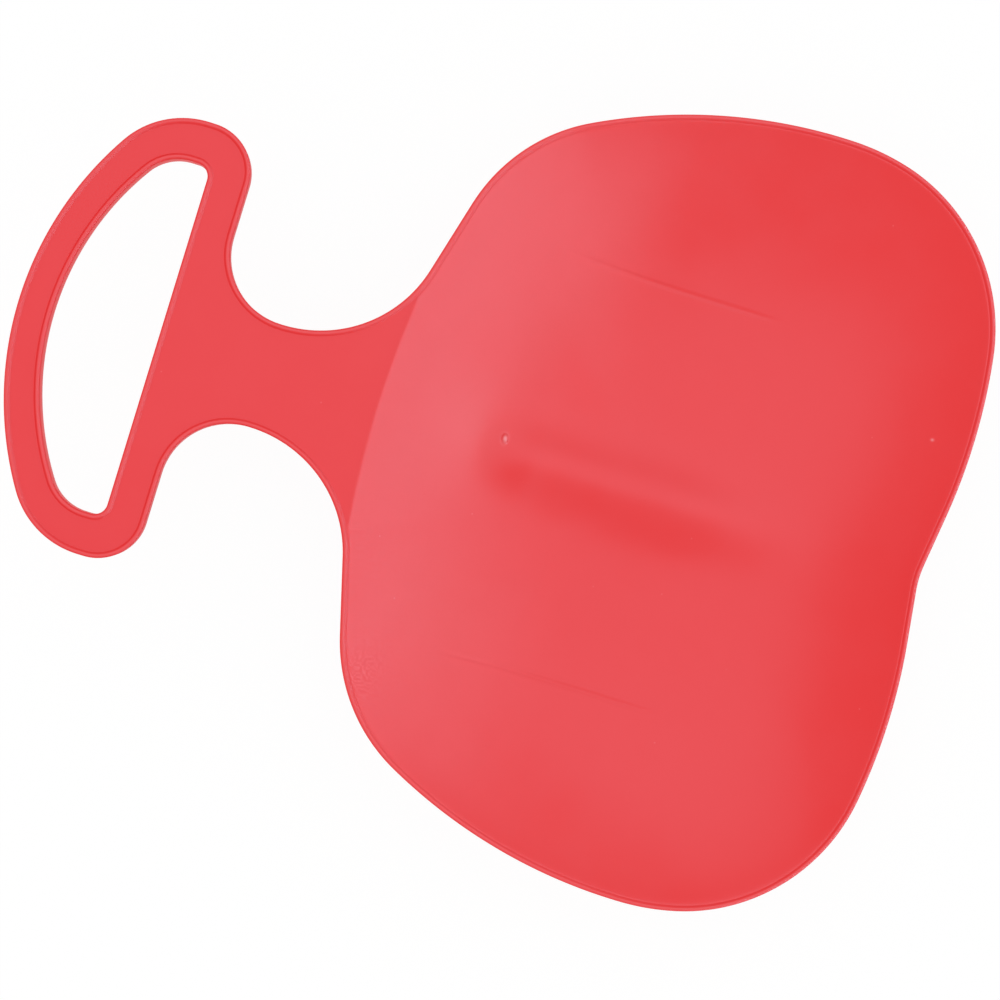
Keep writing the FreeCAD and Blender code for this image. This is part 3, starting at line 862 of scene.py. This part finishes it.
def moulding():
    """The whole skin of the moulding, closed, in the rim frame."""
    bead = bead_graph()
    parts = []
    for name, points in (("outer_bead", outer_edge), ("opening_bead", opening_edge)):
        places, inward = zip(*points)
        line = loop_mesh(name, places, vectors={"inward": inward})
        parts.append(grown(name, bead, line, BEAD))
    parts.append(grown("dish", dish_graph(), seat_loop(), DISH))
    skin = bmesh.new()
    for part in parts:
        skin.from_mesh(part)
    rows = neck_rows(half_edge, behind_crease, neck_end)
    sheet_faces(skin, rows)
    web = [foot(point) for point in half_edge[neck_end:]]
    web += [flipped(place) for place in reversed(web[:-1])]
    web += list(reversed(rows[-1][1:-1]))
    handle_web(skin, web, [foot(point) for point in opening_edge])
    bmesh.ops.remove_doubles(skin, verts=skin.verts, dist=WELD)
    if any(len(edge.link_faces) != 2 for edge in skin.edges):
        raise RuntimeError("the moulding's skin is not closed")
    bmesh.ops.recalc_face_normals(skin, faces=skin.faces)
    return skin


def new_piece(name, bm, place):
    """A piece in the part's frame, in red plastic. Its faces stay smooth or flat as they are."""
    mesh = bpy.data.meshes.new(name)
    bm.to_mesh(mesh)
    bm.free()
    mesh.transform(place)
    mesh.materials.clear()
    mesh.materials.append(RED)
    piece = bpy.data.objects.new(name, mesh)
    bpy.context.scene.collection.objects.link(piece)
    return piece


def cut_piece(name, rear, front):
    """The part of the skin between two stations along the middle line, closed where it was cut."""
    bm = skin.copy()
    for face in bm.faces:
        face.smooth = True
    for station, ahead in ((rear, False), (front, True)):
        if station is not None:
            everything = bm.verts[:] + bm.edges[:] + bm.faces[:]
            bmesh.ops.bisect_plane(bm, geom=everything, dist=WELD, plane_co=(station, 0, 0),
                                   plane_no=(1, 0, 0), clear_outer=ahead, clear_inner=not ahead)
    cut = [edge for edge in bm.edges if len(edge.link_faces) == 1]
    for edge in cut:
        edge.smooth = False
    caps = bmesh.ops.holes_fill(bm, edges=cut, sides=0)["faces"]
    for face in caps:
        face.smooth = False
    bmesh.ops.triangulate(bm, faces=caps, ngon_method="EAR_CLIP")
    return new_piece(name, bm, RIM)


# Keels: a rounded section that stands on the ground and runs up into the underside of the seat

def keel_graph():
    graph = ShapeGraph("keel", KEEL)
    width, flare, bite = (graph.given(label) for label in ("Half width", "Flare", "Bite"))
    length, tip = graph.given("Length"), graph.given("Tip")
    edge_round = width * KEEL_ROUND
    stations = graph.given("Stations")
    tube, column, row = graph.grid(stations + 1, KEEL_POINTS + 1)
    row = row % KEEL_POINTS

    along = (1 - (column / stations * math.pi).one("COSINE")) / 2 * length
    from_end = along.least(length - along)
    from_round = 1 - (from_end / width).least(1)
    narrowing = (1 - from_round * from_round).one("SQRT")
    climb = (1 - from_end / tip).most(0)
    ground = graph.given("Tip rise") * climb ** KEEL_CLIMB

    inner = edge_round * (1 - math.sqrt(0.5))
    half = [width + flare, width + flare * FLARE_STEP, width, width,
            width - inner, width - edge_round, width * 0]
    sides = [-value for value in half] + list(reversed(half))
    across = graph.choose("FLOAT", sides, row) * narrowing
    x = graph.given("Front") - along
    y = graph.given("Side") + across
    below_ground = graph.point(x, y, RAY_START)
    hit = graph.node("GeometryNodeRaycast", None,
                     {"Target Geometry": graph.given("Geometry"), "Source Position": below_ground,
                      "Ray Direction": (0, 0, 1), "Ray Length": RAY_REACH}, "Hit Position")
    seat = graph.split(hit).also("Z")
    up = [seat + bite, seat - flare * FLARE_STEP, seat - flare, ground + edge_round,
          ground + inner, ground, ground]
    z = graph.choose("FLOAT", up + list(reversed(up)), row)
    z = z.least(seat + bite)
    graph.finish(graph.welded(graph.moved(tube, graph.point(x, y, z))), RED)
    return graph


def make_keel(name, graph, seat_mesh, side):
    front = (RIM @ Vector((KEEL["Front"], 0, 0))).x
    sizes = {**KEEL, "Front": front, "Side": side * KEEL_SPACING / 2}
    made = grown(name, graph, seat_mesh.copy(), sizes)
    bm = bmesh.new()
    bm.from_mesh(made)
    bmesh.ops.recalc_face_normals(bm, faces=bm.faces)
    for face in bm.faces:
        face.smooth = True
    return new_piece(name, bm, Matrix.Identity(4))


def make_gate():
    """The stub that is left where the plastic was injected, standing on the ridge's nose."""
    surface = BVHTree.FromBMesh(skin)
    place, normal = surface.ray_cast((*GATE_PLACE, BEAD["Drop"]), (0, 0, -1))[:2]
    stand = Matrix.LocRotScale(place, normal.to_track_quat("Z", "Y"), (MM, MM, MM))
    bm = bmesh.new()
    rings = []
    for radius, height in GATE_PROFILE:
        ring = []
        for step in range(GATE_STEPS):
            angle = 2 * math.pi * step / GATE_STEPS
            x, y = radius * math.cos(angle), GATE_OVAL * radius * math.sin(angle)
            ring.append(bm.verts.new((x, y, height)))
        rings.append(ring)
    for lower, upper in zip(rings, rings[1:]):
        for i in range(GATE_STEPS):
            j = (i + 1) % GATE_STEPS
            bm.faces.new((lower[i], lower[j], upper[j], upper[i]))
    bm.faces.new(list(reversed(rings[0])))
    bm.faces.new(rings[-1])
    for face in bm.faces:
        face.smooth = True
    return new_piece("gate_mark", bm, RIM @ stand @ Matrix.Rotation(GATE_TURN, 4, "Z"))


skin = moulding()
bend_half = BEND_PITCH / 2
stations = [BEND_SETBACK - bend_half + BEND_PITCH * i for i in range(BENDS + 1)] + [TWIST_END]
seat = cut_piece("seat_moulding", None, stations[0])
flex = [cut_piece(name, *ends) for name, *ends in zip(
    ("neck_flex_rear", "neck_flex_middle", "neck_flex_front", "neck_twist_web"), stations, stations[1:])]
handle = cut_piece("handle_moulding", stations[-1], None)
gate = make_gate()
keel_tree = keel_graph()
keels = [make_keel(name, keel_tree, seat.data, side) for name, side in (("keel_left", 1), ("keel_right", -1))]

# What each piece moves with, and what it stands for

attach(seat, "seat")
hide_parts("seat_pan", "pan_rim", "neck_root")
stood_for = ["neck_rear_segment", "neck_middle_segment", "neck_front_segment", "handle_plate"]
for i, piece in enumerate(flex):
    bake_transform(piece)
    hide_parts(stood_for[i])
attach(handle, "handle")
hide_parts("handle_plate", "handle_rim", "opening_rim")
for keel, node in zip(keels, ("runner_left", "runner_right")):
    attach(keel, "seat")
    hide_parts(node)
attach(gate, "seat")


# Stage: a white floor, soft surroundings and the camera straight above

def make_floor():
    mesh = bpy.data.meshes.new("floor")
    corners = [(-1, -1, 0), (1, -1, 0), (1, 1, 0), (-1, 1, 0)]
    mesh.from_pydata([FLOOR_REACH * Vector(corner) for corner in corners], [], [(0, 1, 2, 3)])
    floor = bpy.data.objects.new("floor", mesh)
    bpy.context.scene.collection.objects.link(floor)
    material = bpy.data.materials.new("white_floor")
    material.use_nodes = True
    graph = Graph(material.node_tree)
    graph.tree.nodes.clear()
    camera_ray = graph.node("ShaderNodeLightPath", output="Is Camera Ray")
    seen = camera_ray.most(camera_ray.also("Is Glossy Ray")).most(camera_ray.also("Is Transmission Ray"))
    paint = graph.node("ShaderNodeBsdfDiffuse", None, {"Color": WHITE})
    glow = graph.node("ShaderNodeEmission", None, {"Color": WHITE, "Strength": 1.0})
    mixed = graph.node("ShaderNodeMixShader", None, {0: seen * FLOOR_GLOW, 1: paint, 2: glow})
    end = graph.tree.nodes.new("ShaderNodeOutputMaterial")
    graph.tree.links.new(mixed.socket, end.inputs["Surface"])
    mesh.materials.append(material)


def make_light():
    """White all round, so that colours render about as they are written, and the lamps for the gloss."""
    world = bpy.data.worlds.new("studio")
    world.use_nodes = True
    sky = world.node_tree.nodes["Background"]
    sky.inputs["Color"].default_value = WHITE
    sky.inputs["Strength"].default_value = LIGHT_LEVEL
    bpy.context.scene.world = world
    for name, (toward, spread, level) in LAMPS.items():
        lamp = bpy.data.objects.new(name, bpy.data.lights.new(name, "SUN"))
        bpy.context.scene.collection.objects.link(lamp)
        lamp.rotation_euler = Vector(toward).to_track_quat("Z", "Y").to_euler()
        lamp.visible_diffuse = False
        lamp.data.angle = 2 * spread
        lamp.data.energy = level * math.pi * math.sin(spread) ** 2
        lamp.data.color = LAMP_TINT
        lamp.data.cycles.use_multiple_importance_sampling = False


def make_camera():
    camera = bpy.data.objects.new("camera", bpy.data.cameras.new("camera"))
    bpy.context.scene.collection.objects.link(camera)
    camera.location = CAMERA_PLACE
    camera.rotation_euler = (0, 0, CAMERA_TURN)
    camera.data.sensor_width = SENSOR_WIDTH
    camera.data.lens = CAMERA_LENS
    bpy.context.scene.camera = camera


make_floor()
make_light()
make_camera()
bpy.context.scene.view_settings.view_transform = "Standard"
